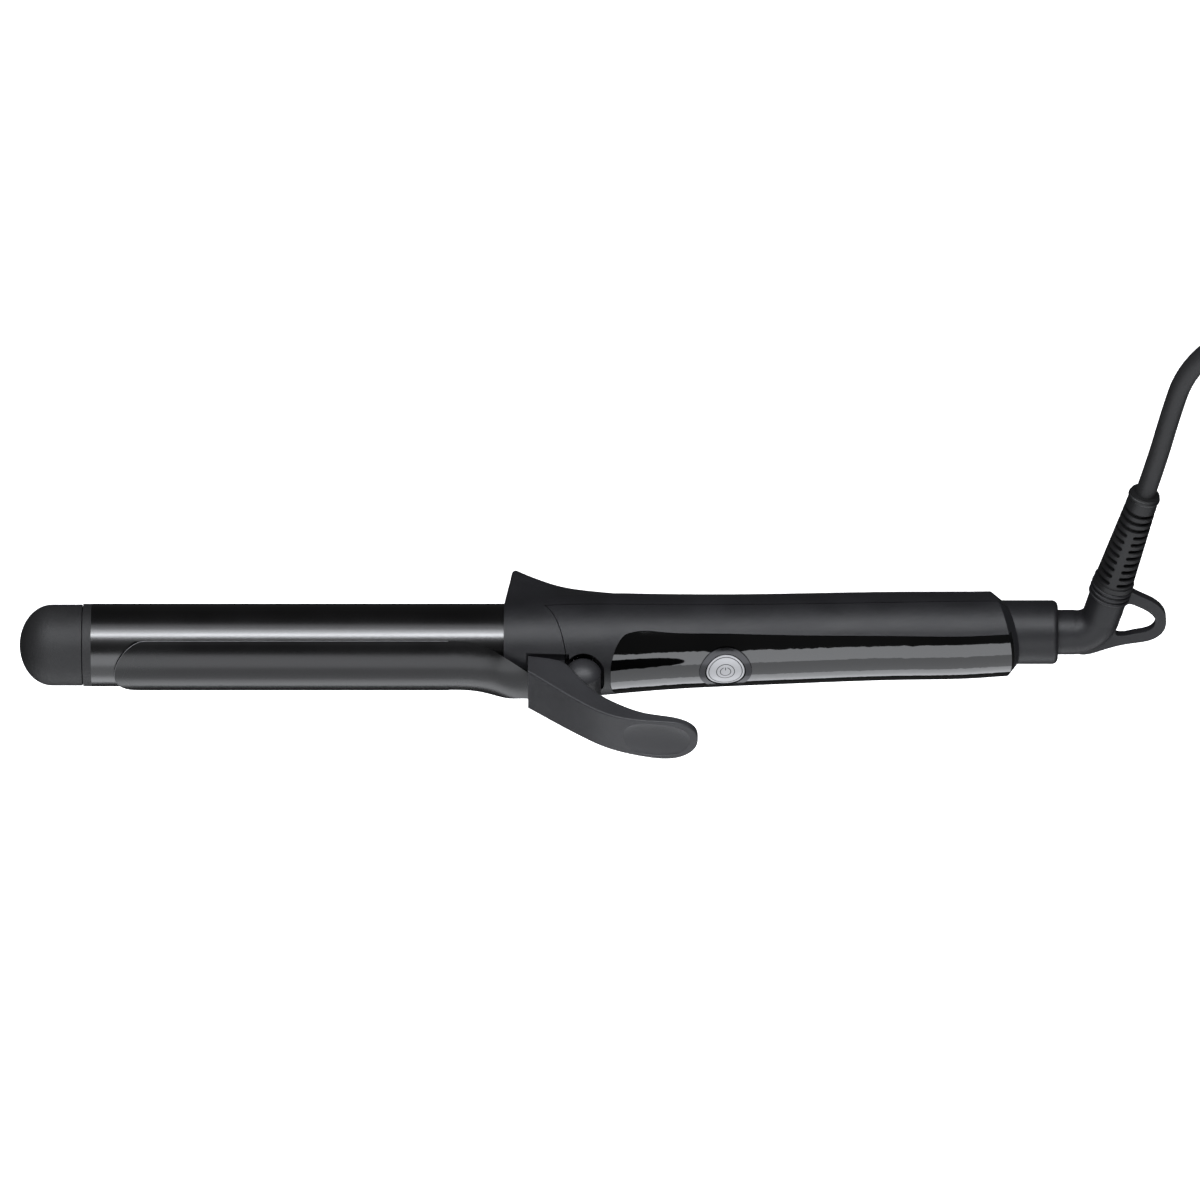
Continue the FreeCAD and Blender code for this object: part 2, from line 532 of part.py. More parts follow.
def side_curve(points, across):
    curve = Part.BSplineCurve()
    curve.interpolate([V(x, across, z) for x, z in points])
    return curve.toShape()


def side_solid(outer, inner, half):
    """A slab between two side curves, the same width either side of the symmetry plane."""
    rim = [side_curve(outer, -half),
           Part.LineSegment(V(outer[-1][0], -half, outer[-1][1]), V(inner[0][0], -half, inner[0][1])).toShape(),
           side_curve(inner, -half),
           Part.LineSegment(V(inner[-1][0], -half, inner[-1][1]), V(outer[0][0], -half, outer[0][1])).toShape()]
    return Part.Face(Part.Wire(rim)).extrude(V(0, 2 * half, 0))


def lever_plan():
    """The lever from above: nearly straight sides, a slight waist and a round thumb end."""
    side = [(5.0, 7.75), (12.0, 7.6), (22.0, 7.2), (32.0, 7.1), (42.0, 7.45), (49.0, 7.7)]
    tip = [(49.0 + (LEVER_TIP - 49.0) * math.sin(math.pi / 2 * k / 5),
            7.7 * math.cos(math.pi / 2 * k / 5) ** 0.85) for k in range(1, 5)]
    half = side + tip
    around = [V(x, -y, 0) for x, y in half] + [V(LEVER_TIP, 0, 0)] + [V(x, y, 0) for x, y in reversed(half)]
    curve = Part.BSplineCurve()
    curve.interpolate(around)
    closing = Part.LineSegment(around[-1], around[0])
    return Part.Face(Part.Wire([curve.toShape(), closing.toShape()])).extrude(V(0, 0, FAR))


lever = side_solid(LEVER_OUTER, LEVER_INNER, 9).common(lever_plan())
LEVER_EDGE = 0.55
long_edges = [edge for edge in lever.Edges if edge.BoundBox.XLength > 30]
lever = lever.makeFillet(LEVER_EDGE, long_edges)
underside = [(x + 0.6, z - WEB) for x, z in LEVER_OUTER[:6]]
hollow_side = side_region([(5.0, underside[0][1] - 1.8)] + underside + [(38.0, 20.0), (38.0, 5.0), (5.0, 5.0)])
hollow_lever = hollow_side.common(slab((0, 36.5), (-CHEEK_INNER, CHEEK_INNER), (0, FAR)))
lever = lever.cut(hollow_lever)
knuckles = []
HUB_INNER, BALL_OUT = 3.9, 1.5     # each ball's inner face, and its centre's distance from the symmetry plane
for side in (-1, 1):
    ball = Part.makeSphere(size("knuckle_radius"), pivot + V(0, side * BALL_OUT, 0))
    knuckles.append(both(ball, slab((0, 60), sorted((side * HUB_INNER, side * 20)), (0, 60))))
skirt_ring = less(across_rod(pivot, size("knuckle_radius") - 0.6, HUB_INNER + 0.2),
                  across_rod(pivot, size("knuckle_radius") - 1.9, HUB_INNER + 1))
knuckles.append(both(skirt_ring, slab((pivot.x - 0.5, FAR), (-20, 20), (pivot.z, FAR))))
lever = lever.fuse(knuckles)
lever = lever.cut(across_rod(pivot, size("pivot_radius") + 0.06, PIN_HALF + 0.15))
dish = Part.makeSphere(1.0).transformGeometry(App.Matrix(12.4, 0, 0, 0, 0, 6.6, 0, 0, 0, 0, 1.5, 0, 0, 0, 0, 1))
dish.Placement = App.Placement(V(46.0, 0, 43.05), App.Rotation(V(0, 1, 0), -5.5))
lever = lever.cut(dish)
for x, z in RIVET_PLACES:
    lever = lever.cut(rod(V(x, 0, z) - lean_up * 4, V(x, 0, z) + lean_up * 1.3, RIVET_RADIUS))
lever_pieces = less(lever, clip_solid).Solids
shaped("lever", max(lever_pieces, key=lambda piece: piece.Volume))
rivets = []
for x, z in RIVET_PLACES:
    shank = rod(V(x, 0, z) - lean_up * 1.6, V(x, 0, z) + lean_up * 1.25, RIVET_RADIUS - 0.02)
    rivets.append(shank.fuse(rod(V(x, 0, z) - lean_up * 2.4, V(x, 0, z) - lean_up * 1.6, 2.0)))
shaped("clip_rivets", Part.makeCompound(rivets))

# ---------------------------------------------------------------- tail collar and swivel
collar = padded_ring("tail_collar", "Sizes.collar_radius", "Sizes.neck_radius + Sizes.swivel_clearance",
                     "Sizes.collar_start", "Sizes.collar_end - Sizes.collar_start", "Sizes.tail_height")
doc.recompute()
collar_pad = collar.Tip
collar_edges = [f"Edge{number}" for number, edge in enumerate(collar_pad.Shape.Edges, start=1)
                if edge.BoundBox.XMin > size("collar_end") - 0.1
                and edge.BoundBox.YLength > 2 * size("collar_radius") - 0.1]
rounding = collar.newObject("PartDesign::Fillet", "collar_rounding")
rounding.Base = (collar_pad, collar_edges)
rounding.Radius = 1.8
collar.Tip = rounding
keep(collar, "tail_collar")

OUTLET_DROP = math.radians(5.0)     # the outlet points this far below level
OUTLET_TURN = math.radians(75.1)    # and turns this far away from the tail's axis
tail_axis = V(0, 0, size("tail_height"))
sideways = V(0, math.cos(OUTLET_DROP), -math.sin(OUTLET_DROP))
lengthways = V(1, 0, 0)
plane_normal = lengthways.cross(sideways)
outlet_way = lengthways * math.cos(OUTLET_TURN) + sideways * math.sin(OUTLET_TURN)


def in_plane(along, out):
    """A point of the swivel's own plane, from its place along the tail's axis and its distance from that axis."""
    return tail_axis + lengthways * along + sideways * out


RELIEF_ALONG, RELIEF_OUT = 186.4, 18.9
relief_foot = in_plane(RELIEF_ALONG, RELIEF_OUT)
corner_along = RELIEF_ALONG - RELIEF_OUT / math.tan(OUTLET_TURN)
BEND_RADIUS = 8.6
bend_reach = BEND_RADIUS * math.tan(OUTLET_TURN / 2)
bend_from = in_plane(corner_along - bend_reach, 0)
bend_to = in_plane(corner_along, 0) + outlet_way * bend_reach
half_turn = OUTLET_TURN / 2
bend_middle = bend_from + lengthways * (BEND_RADIUS * math.sin(half_turn)) + sideways * (
    BEND_RADIUS * (1 - math.cos(half_turn)))
neck_start = in_plane(147.0, 0)
spine = Part.Wire([Part.Arc(bend_from, bend_middle, bend_to).toShape()])


def disc_wire(centre, way, radius):
    return Part.Wire(Part.Circle(centre, way, radius).toShape())


shell_maker = Part.BRepOffsetAPI.MakePipeShell(spine)
shell_maker.add(disc_wire(bend_from, lengthways, size("neck_radius")))
shell_maker.add(disc_wire(bend_to, outlet_way, size("outlet_radius")))
shell_maker.build()
shell_maker.makeSolid()
elbow = shell_maker.shape()
elbow = elbow.fuse([rod(neck_start, in_plane(158.0, 0), size("spigot_radius")),
                    rod(in_plane(158.0, 0), bend_from, size("neck_radius")),
                    rod(bend_to, relief_foot, size("outlet_radius"))])
LOOP_OUTER = ((173.5, -5.0), (176.5, -7.6), (184.5, -5.7), (192.8, -3.4), (199.3, -1.7), (202.2, 1.2), (203.0, 5.0),
              (202.0, 8.9), (199.0, 12.2), (193.0, 15.7), (187.0, 18.4), (184.5, 14.5), (181.0, 6.0), (176.5, -1.0))
LOOP_HOLE = ((189.9, 9.7), (191.2, 11.6), (194.3, 10.6), (197.9, 8.2), (199.6, 5.5), (199.0, 2.7), (197.4, 1.4),
             (193.2, 0.3), (189.2, -0.5), (187.6, 0.0), (187.5, 1.4))
LOOP_HALF = 1.3
RIB_PITCH, RIB_PROUD, RIB_WIRE = 1.7, 0.1, 0.5
ribs = [Part.makeTorus(size("outlet_radius") + RIB_PROUD, RIB_WIRE, relief_foot - outlet_way * (0.8 + RIB_PITCH * step),
                       outlet_way) for step in range(3)]


def flat_band(points, half):
    """A flat solid in the swivel's plane, inside a smooth closed curve."""
    curve = Part.BSplineCurve()
    curve.interpolate([in_plane(along, out) - plane_normal * half for along, out in points], PeriodicFlag=True)
    return Part.Face(Part.Wire(curve.toShape())).extrude(plane_normal * (2 * half))


loop_hole = flat_band(LOOP_HOLE, 12.0)
loop = flat_band(LOOP_OUTER, LOOP_HALF).cut(loop_hole)
shaped("swivel_elbow", elbow.fuse([loop] + ribs))

RING_WIDTH = 2.2
slip_rings = []
for along in (149.0, 153.5):
    ring = rod(in_plane(along, 0), in_plane(along + RING_WIDTH, 0), size("ring_radius"))
    slip_rings.append(ring.cut(rod(in_plane(140, 0), in_plane(170, 0), size("spigot_radius"))))
shaped("slip_rings", Part.makeCompound(slip_rings))
brushes = []
for along in (149.0, 153.5):
    brushes.append(slab((along + 0.4, along + RING_WIDTH - 0.4), (-2.0, 2.0),
                        (size("tail_height") + size("ring_radius") + 0.3, size("tail_height") + 6.7)))
shaped("contact_brushes", Part.makeCompound(brushes))


# Strain relief, modelled upright from its foot: a tapered sleeve with rows of slots and three ring grooves.
def relief_radius(up):
    return size("relief_base") + (size("relief_top") - size("relief_base")) * up / size("relief_length")


relief_turn = App.Rotation(V(0, 0, 1), outlet_way)
topmost = relief_turn.inverted().multVec(V(0, 0.67, 0.74))
first_slots = math.degrees(math.atan2(topmost.y, topmost.x)) + 45
relief = Part.makeCone(size("relief_base"), size("relief_top"), size("relief_length"))
SLOT_ROWS, SLOT_PITCH, SLOT_FROM, SLOT_TALL, SLOT_DEEP = 8, 2.6, 2.6, 1.4, 1.5
cutters = []
for number in range(SLOT_ROWS):
    low = SLOT_FROM + number * SLOT_PITCH
    reach = relief_radius(low)
    for quarter in range(4):
        slot = slab((reach - SLOT_DEEP, reach + 3), (-reach * 0.56, reach * 0.56), (low, low + SLOT_TALL))
        slot = slot.makeFillet(SLOT_TALL * 0.45, [edge for edge in slot.Edges if edge.BoundBox.XLength > 3])
        slot.rotate(V(0, 0, 0), V(0, 0, 1), first_slots + 90 * quarter)
        cutters.append(slot)
for number in range(3):
    low = SLOT_FROM + (SLOT_ROWS + number) * SLOT_PITCH
    reach = relief_radius(low)
    groove_ring = Part.makeCylinder(reach + 2, SLOT_TALL, V(0, 0, low)).cut(
        Part.makeCylinder(reach - SLOT_DEEP * 0.75, SLOT_TALL, V(0, 0, low)))
    cutters.append(groove_ring)
relief = relief.cut(Part.makeCompound(cutters))
foot_ring = Part.makeCylinder(size("relief_base") + 0.25, 1.6, V(0, 0, 0.0))
lip = Part.makeTorus(size("relief_top") - 0.55, 0.95, V(0, 0, size("relief_length") - 1.3))
relief = relief.fuse([foot_ring, lip]).common(slab((-20, 20), (-20, 20), (0, size("relief_length"))))
shaped("strain_relief", relief, REST.multiply(App.Placement(relief_foot, relief_turn)))

# ---------------------------------------------------------------- cord, coil, tie and plug, in the table's axes
cord_exit = REST.multVec(relief_foot + outlet_way * size("relief_length"))
cord_way = REST_TURN.multVec(outlet_way)
tail_way = REST_TURN.multVec(lengthways)
FIRST_RUN, FACE_RUN = 13.0, 17.5
face_before = V(229.0, 121.9, 4.1)
first_bend = cord_exit + cord_way * FIRST_RUN
coil_face = face_before + tail_way * FACE_RUN
ROUTE = (cord_exit, first_bend, V(197.5, 82.0, 3.6), V(201.6, 99.5, 3.4), V(212.8, 113.8, 3.6), face_before,
         coil_face)


def tube_path(points):
    """Straight runs joined by tangent arcs, each as large as its two runs allow."""
    edges = []
    start = points[0]
    for before, corner, after in zip(points, points[1:], points[2:]):
        way_in = (corner - before).normalize()
        way_out = (after - corner).normalize()
        turn = way_in.getAngle(way_out)
        reach = 0.45 * min((corner - before).Length, (after - corner).Length)
        radius = reach / math.tan(turn / 2)
        print("cord arc radius", round(radius, 1), "turn", round(math.degrees(turn), 1))
        enter = corner - way_in * reach
        leave = corner + way_out * reach
        inward = (way_out - way_in).normalize()
        centre = corner + inward * math.hypot(radius, reach)
        edges.append(Part.LineSegment(start, enter).toShape())
        edges.append(Part.Arc(enter, centre - inward * radius, leave).toShape())
        start = leave
    edges.append(Part.LineSegment(start, points[-1]).toShape())
    return Part.Wire(edges)


def tube_along(points, radius):
    path = tube_path(points)
    ring = disc_wire(points[0], points[1] - points[0], radius)
    tube = path.makePipeShell([ring], True, False)
    expected = math.pi * radius ** 2 * path.Length
    print("cord tube volume", round(tube.Volume, 1), "expected", round(expected, 1), "length", round(path.Length, 1))
    return tube


shaped("cord", tube_along(ROUTE, size("cord_radius")), App.Placement())

cord_radius = size("cord_radius")
turn_outer = size("coil_radius") + 2 * cord_radius
coil_centre = V(294.5, face_before.y - turn_outer, 0)
ring_outer = turn_outer + cord_radius
ring_inner = size("coil_radius") - 3 * cord_radius
coil = Part.makeCylinder(ring_outer, size("coil_height"), coil_centre)
coil = coil.cut(Part.makeCylinder(ring_inner, size("coil_height"), coil_centre))
coil = coil.makeFillet(3.0, coil.Edges)
stub_in = tube_along((coil_face, coil_face + tail_way * 8, V(coil_centre.x - 18, face_before.y, 3.2),
                      V(coil_centre.x, face_before.y - 1.0, 3.25)), cord_radius)
PLUG_AXIS_HEIGHT = size("plug_height") / 2
plug_x = coil_centre.x + turn_outer - 4.0
plug_top = coil_centre.y - 46.0
stub_out = tube_along((V(plug_x + 3.5, coil_centre.y - 6, 14.5), V(plug_x + 2.6, coil_centre.y - 20, 12.8),
                       V(plug_x + 0.4, coil_centre.y - 34, 8.0), V(plug_x, plug_top + 0.4, PLUG_AXIS_HEIGHT)), cord_radius)
TIE_WIDTH, TIE_SHEET = 9.0, 0.9
tie_outer = slab((ring_inner - TIE_SHEET, ring_outer + TIE_SHEET), (-TIE_WIDTH / 2, TIE_WIDTH / 2),
                 (0, size("coil_height") + TIE_SHEET))
tie_inner = slab((ring_inner, ring_outer), (-TIE_WIDTH, TIE_WIDTH), (TIE_SHEET, size("coil_height")))
tie = tie_outer.cut(tie_inner)
tie.Placement = App.Placement(coil_centre, App.Rotation(V(0, 0, 1), 215))
coil = coil.fuse([stub_in, stub_out]).cut(tie)
shaped("cord_coil", coil, App.Placement())
shaped("cord_tie", tie, App.Placement())

plug_way = V(0, -1, 0)
PLUG_NECK = 14.0
neck_cone = Part.makeCone(5.0, 6.4, PLUG_NECK, V(plug_x, plug_top, PLUG_AXIS_HEIGHT), plug_way)
plug_front = plug_top - PLUG_NECK - size("plug_length") + 6
half_wide = size("plug_width") / 2
plug_plan = ((plug_x - 8.5, plug_top - PLUG_NECK + 6), (plug_x + 8.5, plug_top - PLUG_NECK + 6),
             (plug_x + half_wide, plug_top - PLUG_NECK - 6), (plug_x + half_wide, plug_front),
             (plug_x - half_wide, plug_front), (plug_x - half_wide, plug_top - PLUG_NECK - 6))
plug = prism(plug_plan, 0, size("plug_height"))
plug = plug.makeFillet(2.4, [edge for edge in plug.Edges if not (abs(edge.BoundBox.YMax - plug_front) < 0.01)])
pin_places = [V(plug_x + side * size("pin_spacing") / 2, plug_front, PLUG_AXIS_HEIGHT) for side in (-1, 1)]
SOCKET_DEPTH, ROOT_RADIUS, ROOT_AIR = 8.0, 1.5, 0.03
plug = plug.fuse(neck_cone)
for place in pin_places:
    plug = plug.cut(rod(place - plug_way * SOCKET_DEPTH, place + plug_way, ROOT_RADIUS + ROOT_AIR))
shaped("plug_body", plug, App.Placement())
pins = []
for place in pin_places:
    pin = rod(place, place + plug_way * size("pin_length"), size("pin_radius"))
    tip_edges = [edge for edge in pin.Edges if abs(edge.BoundBox.YMin - place.y + size("pin_length")) < 0.01
                 and edge.BoundBox.YLength < 0.01]
    root = rod(place - plug_way * SOCKET_DEPTH, place, ROOT_RADIUS)
    pins.append(plus(pin.makeFillet(1.2, tip_edges), root))
shaped("plug_pins", Part.makeCompound(pins), App.Placement())

# ---------------------------------------------------------------- checks, then one file per piece
doc.recompute()
for item in doc.Objects:
    if "Invalid" in item.State or "Error" in item.State:
        raise SystemExit(f"{item.Name} failed: {item.State}")
for item in nodes:
    if item.Shape.isNull() or not item.Shape.isValid():
        raise SystemExit(f"{item.Label} has no valid shape")
os.makedirs("parts", exist_ok=True)
for item in nodes:
    item.Shape.exportStep(f"parts/{item.Label}.step")
    box = item.Shape.BoundBox
    print(f"{item.Label:20s} solids {len(item.Shape.Solids)} volume {item.Shape.Volume:9.1f} "
          f"x {box.XMin:7.1f} {box.XMax:7.1f} y {box.YMin:7.1f} {box.YMax:7.1f} z {box.ZMin:7.1f} {box.ZMax:7.1f}")
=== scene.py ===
import json
import math
import bpy
from mathutils import Matrix, Vector


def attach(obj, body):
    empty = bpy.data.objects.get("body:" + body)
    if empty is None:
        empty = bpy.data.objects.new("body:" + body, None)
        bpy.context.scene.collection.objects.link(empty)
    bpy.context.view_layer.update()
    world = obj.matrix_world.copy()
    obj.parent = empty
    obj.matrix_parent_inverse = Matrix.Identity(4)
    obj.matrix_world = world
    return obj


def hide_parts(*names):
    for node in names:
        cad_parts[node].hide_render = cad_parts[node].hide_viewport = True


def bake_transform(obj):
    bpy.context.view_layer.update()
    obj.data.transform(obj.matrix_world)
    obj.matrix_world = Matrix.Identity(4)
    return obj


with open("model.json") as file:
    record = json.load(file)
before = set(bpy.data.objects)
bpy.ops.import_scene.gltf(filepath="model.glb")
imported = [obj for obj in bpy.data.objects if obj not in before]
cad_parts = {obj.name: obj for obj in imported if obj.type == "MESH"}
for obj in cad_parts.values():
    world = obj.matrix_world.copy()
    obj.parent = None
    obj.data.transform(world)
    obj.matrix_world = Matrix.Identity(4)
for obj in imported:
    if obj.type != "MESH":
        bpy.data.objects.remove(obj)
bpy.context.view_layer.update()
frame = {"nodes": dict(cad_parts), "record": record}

MM = 0.001
nodes = frame["nodes"]
scene = bpy.context.scene

# ---------------------------------------------------------------- the iron's own axes, as it rests
# The iron rests on the flat under its heel and on its tail, so its long axis is tilted. Its axes are in
# millimetres: along the barrel from the front of the handle towards the tail, across towards the cord's side,
# and up from the barrel's axis.
HEEL_ALONG, HEEL_DEPTH = 5.0, 22.3
TAIL_ALONG, TAIL_DEPTH = 150.0, 18.0
TILT = math.atan2(HEEL_DEPTH - TAIL_DEPTH, TAIL_ALONG - HEEL_ALONG)
LEAN = Matrix.Rotation(TILT, 4, "Y")
REST = LEAN @ Matrix.Translation((-HEEL_ALONG * MM, 0, HEEL_DEPTH * MM))


def place(along, across, up):
    """A point of the iron's own axes, in millimetres, as it lies in the row frame."""
    return REST @ Vector((along * MM, across * MM, up * MM))


def heading(along, across, up):
    """A direction of the iron's own axes, in the row frame."""
    return (LEAN.to_3x3() @ Vector((along, across, up))).normalized()


def axes_matrix(first, second, third):
    """The rotation that turns X, Y and Z to these three directions."""
    return Matrix((first, second, third)).transposed().to_4x4()


def put_in_scene(thing):
    scene.collection.objects.link(thing)


# ---------------------------------------------------------------- camera
# The camera looks square to the long axis, from above the iron and to its side. SIDEWAYS and UPWARDS are the
# parts of the unit vector towards it.
SIDEWAYS = 0.669
UPWARDS = math.sqrt(1 - SIDEWAYS ** 2)
CAMERA_AWAY = 4.4
PICTURE_WIDTH = 0.3678      # metres across the picture, at the iron
SENSOR_WIDTH = 36.0
FAR_CLIP = 50
AIM_ALONG, AIM_UP = 29.4, 13.8
towards_camera = heading(0, SIDEWAYS, UPWARDS)
picture_up = heading(0, UPWARDS, -SIDEWAYS)
picture_right = heading(1, 0, 0)
aim = place(AIM_ALONG, AIM_UP * UPWARDS, -AIM_UP * SIDEWAYS)
camera_data = bpy.data.cameras.new("camera")
camera_data.sensor_width = SENSOR_WIDTH
camera_data.lens = SENSOR_WIDTH * CAMERA_AWAY / PICTURE_WIDTH
camera_data.clip_end = FAR_CLIP
camera = bpy.data.objects.new("camera", camera_data)
camera.matrix_world = (Matrix.Translation(aim + towards_camera * CAMERA_AWAY)
                       @ axes_matrix(picture_right, picture_up, towards_camera))
put_in_scene(camera)
scene.camera = camera
scene.view_settings.view_transform = "Standard"


# ---------------------------------------------------------------- smooth lines and tubes
def smooth_line(name, points):
    """One open NURBS spline with the points as its control points."""
    data = bpy.data.curves.new(name, "CURVE")
    data.dimensions = "3D"
    data.resolution_u = 6
    spline = data.splines.new("NURBS")
    spline.points.add(len(points) - 1)
    for slot, point in zip(spline.points, points):
        slot.co = (*point, 1)
    spline.order_u = 3
    spline.use_endpoint_u = True
    return bpy.data.objects.new(name, data)


def mesh_of(curve, name):
    """The curve's mesh. The curve's own object is removed."""
    put_in_scene(curve)
    bpy.context.view_layer.update()
    mesh = bpy.data.meshes.new_from_object(curve.evaluated_get(bpy.context.evaluated_depsgraph_get()))
    mesh.name = name
    bpy.data.objects.remove(curve)
    return mesh


def tube(name, points, radius, roundness):
    """A smooth-shaded tube along the points, with closed ends. A higher roundness gives it more sides."""
    curve = smooth_line(name + "_line", points)
    curve.data.bevel_depth = radius
    curve.data.bevel_resolution = roundness
    curve.data.use_fill_caps = True
    piece = bpy.data.objects.new(name, mesh_of(curve, name))
    put_in_scene(piece)
    piece.data.polygons.foreach_set("use_smooth", [True] * len(piece.data.polygons))
    return piece


# ---------------------------------------------------------------- cord
# The route repeats the CAD part's, in metres of the row frame. The outlet's sizes are in the iron's millimetres.
CORD_RADIUS = 3.175 * MM
OUTLET_DROP, OUTLET_TURN = math.radians(5.0), math.radians(75.1)
RELIEF_ALONG, RELIEF_OUT, RELIEF_LENGTH, TAIL_HEIGHT = 186.4, 18.9, 35.4, -5.9
STRAIGHT_OUT = 0.013        # the cord leaves the strain relief straight for this long
COIL_RADIUS = 0.035         # middle of the three turns of a layer
COIL_ALONG = 0.2945
FREE_END, COIL_START = 0.0175, 0.008
COIL_LEAD = 0.018           # the last point before the coil lies this far short of the coil's middle
COIL_LEAD_HEIGHT = 0.0032


def swivel_way(along, out):
    """A direction in the swivel's plane, in the row frame."""
    return heading(along, out * math.cos(OUTLET_DROP), -out * math.sin(OUTLET_DROP))


def swivel_point(along, out):
    """A point in the swivel's plane, from its place along the tail and its distance from the tail's axis."""
    return place(along, out * math.cos(OUTLET_DROP), TAIL_HEIGHT - out * math.sin(OUTLET_DROP))


outlet_way = swivel_way(math.cos(OUTLET_TURN), math.sin(OUTLET_TURN))
tail_way = heading(1, 0, 0)
relief_foot = swivel_point(RELIEF_ALONG, RELIEF_OUT)
cord_exit = relief_foot + outlet_way * RELIEF_LENGTH * MM
bend_end = Vector((0.2290, 0.1219, 0.0041))
coil_face = bend_end + tail_way * FREE_END
outer_radius = COIL_RADIUS + 2 * CORD_RADIUS
coil_centre = Vector((COIL_ALONG, bend_end.y - outer_radius, 0))
free_route = [
    cord_exit,
    cord_exit + outlet_way * STRAIGHT_OUT,
    Vector((0.1975, 0.0820, 0.0036)),
    Vector((0.2016, 0.0995, 0.0034)),
    Vector((0.2128, 0.1138, 0.0036)),
    bend_end,
    coil_face,
    coil_face + tail_way * COIL_START,
    Vector((coil_centre.x - COIL_LEAD, bend_end.y, COIL_LEAD_HEIGHT)),
]

# Each turn of the coil: how many cord widths it lies inside the outer turn, and its layer from the bottom.
TURNS = [(0, 0), (1, 0), (2, 0), (2, 1), (1, 1), (0, 1), (0.35, 2)]
POINTS_A_TURN = 16
CROSS_OVER = 4              # points at the end of each turn that move over to the next
LAST_POINTS = 4             # a quarter turn more, which ends above the plug
LAYER_HEIGHTS = [CORD_RADIUS + 0.0002, 3 * CORD_RADIUS - 0.0004, 5 * CORD_RADIUS - 0.0014]


def coil_point(widths_in, layer, point):
    """A point of the coil. The turns run clockwise, seen from above, from the coil's +Y side."""
    radius = outer_radius - widths_in * 2 * CORD_RADIUS
    low = LAYER_HEIGHTS[int(layer)]
    high = LAYER_HEIGHTS[min(int(layer) + 1, len(LAYER_HEIGHTS) - 1)]
    height = low + (high - low) * (layer - int(layer))
    angle = math.pi / 2 - 2 * math.pi * point / POINTS_A_TURN
    return coil_centre + Vector((radius * math.cos(angle), radius * math.sin(angle), height))


def coil_route():
    """The turns in order, each moving over to the next one's radius and layer at its end."""
    points = []
    for (widths_in, layer), following in zip(TURNS, TURNS[1:] + TURNS[-1:]):
        for point in range(POINTS_A_TURN):
            over = max(0, point - (POINTS_A_TURN - CROSS_OVER)) / CROSS_OVER
            points.append(coil_point(widths_in + (following[0] - widths_in) * over,
                                     layer + (following[1] - layer) * over, point))
    return points + [coil_point(*TURNS[-1], point) for point in range(LAST_POINTS)]


# From the top of the coil down to the plug, which lies flat on the table beside it.
plug_x = coil_centre.x + outer_radius - 0.004
plug_top = Vector((plug_x, coil_centre.y - 0.046, 0.00685))
plug_route = [
    Vector((plug_x + 0.0012, coil_centre.y - 0.004, 0.0138)),
    Vector((plug_x + 0.002, coil_centre.y - 0.018, 0.0122)),
    Vector((plug_x + 0.0006, coil_centre.y - 0.033, 0.0085)),
    plug_top,
]

CORD_ROUNDNESS = 6
route = free_route + coil_route() + plug_route
cord_path = [tuple(vertex.co) for vertex in mesh_of(smooth_line("cord_path", route), "cord_path").vertices]
power_cord = tube("power_cord", route, CORD_RADIUS, CORD_ROUNDNESS)
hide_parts("cord", "cord_coil")
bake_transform(power_cord)


# ---------------------------------------------------------------- the clip's light sheet edge
CLIP_RADIUS, CLIP_HALF = 13.8, 10.1         # its outer face, about the barrel's axis, and its half width
CLIP_REACH, CLIP_ROUND_END = 119.1, 9.7     # its reach in front of the handle, and its rounded end's length
CLIP_FLARE = 17.0                           # the edge line stops this far in front of the handle
EDGE_RADIUS = 0.13 * MM
EDGE_STEPS = 24
EDGE_ROUNDNESS = 2


def clip_edge_point(along, across):
    """A point on the clip's outer face, over the barrel."""
    return place(along, across, math.sqrt(CLIP_RADIUS ** 2 - across ** 2))


def clip_edge_route():
    """Along one side, round the end and back along the other side."""
    points = [clip_edge_point(-CLIP_FLARE, CLIP_HALF)]
    for step in range(EDGE_STEPS + 1):
        angle = math.pi * step / EDGE_STEPS
        points.append(clip_edge_point(CLIP_ROUND_END - CLIP_REACH - CLIP_ROUND_END * math.sin(angle),
                                      CLIP_HALF * math.cos(angle)))
    points.append(clip_edge_point(-CLIP_FLARE, -CLIP_HALF))
    return points


clip_edge = tube("clip_edge", clip_edge_route(), EDGE_RADIUS, EDGE_ROUNDNESS)
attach(clip_edge, "clip")


# ---------------------------------------------------------------- parts of a material
TONE_ENDS = (0.35, 0.65)    # noise values at which a colour reaches its two tones
GLOSS_ENDS = (0.3, 0.7)     # and at which a roughness reaches its limits
COAT_ROUGHNESS = 0.03


def new_material(name, colour, roughness, metallic=0.0, coat=0.0, specular=0.5):
    """A Principled material, with its node tree and shader."""
    material = bpy.data.materials.new(name)
    material.use_nodes = True
    shader = material.node_tree.nodes["Principled BSDF"]
    shader.inputs["Base Color"].default_value = (*colour, 1)
    shader.inputs["Roughness"].default_value = roughness
    shader.inputs["Metallic"].default_value = metallic
    shader.inputs["Coat Weight"].default_value = coat
    shader.inputs["Coat Roughness"].default_value = COAT_ROUGHNESS
    shader.inputs["Specular IOR Level"].default_value = specular
    return material, material.node_tree, shader


def noise(tree, scale, detail, stretch=(1.0, 1.0, 1.0)):
    """A noise pattern in the row frame's metres. A stretch below 1 draws it out along that axis."""
    where = tree.nodes.new("ShaderNodeTexCoord")
    mapping = tree.nodes.new("ShaderNodeMapping")
    mapping.inputs["Scale"].default_value = stretch
    pattern = tree.nodes.new("ShaderNodeTexNoise")
    pattern.inputs["Scale"].default_value = scale
    pattern.inputs["Detail"].default_value = detail
    tree.links.new(where.outputs["Object"], mapping.inputs["Vector"])
    tree.links.new(mapping.outputs["Vector"], pattern.inputs["Vector"])
    return pattern


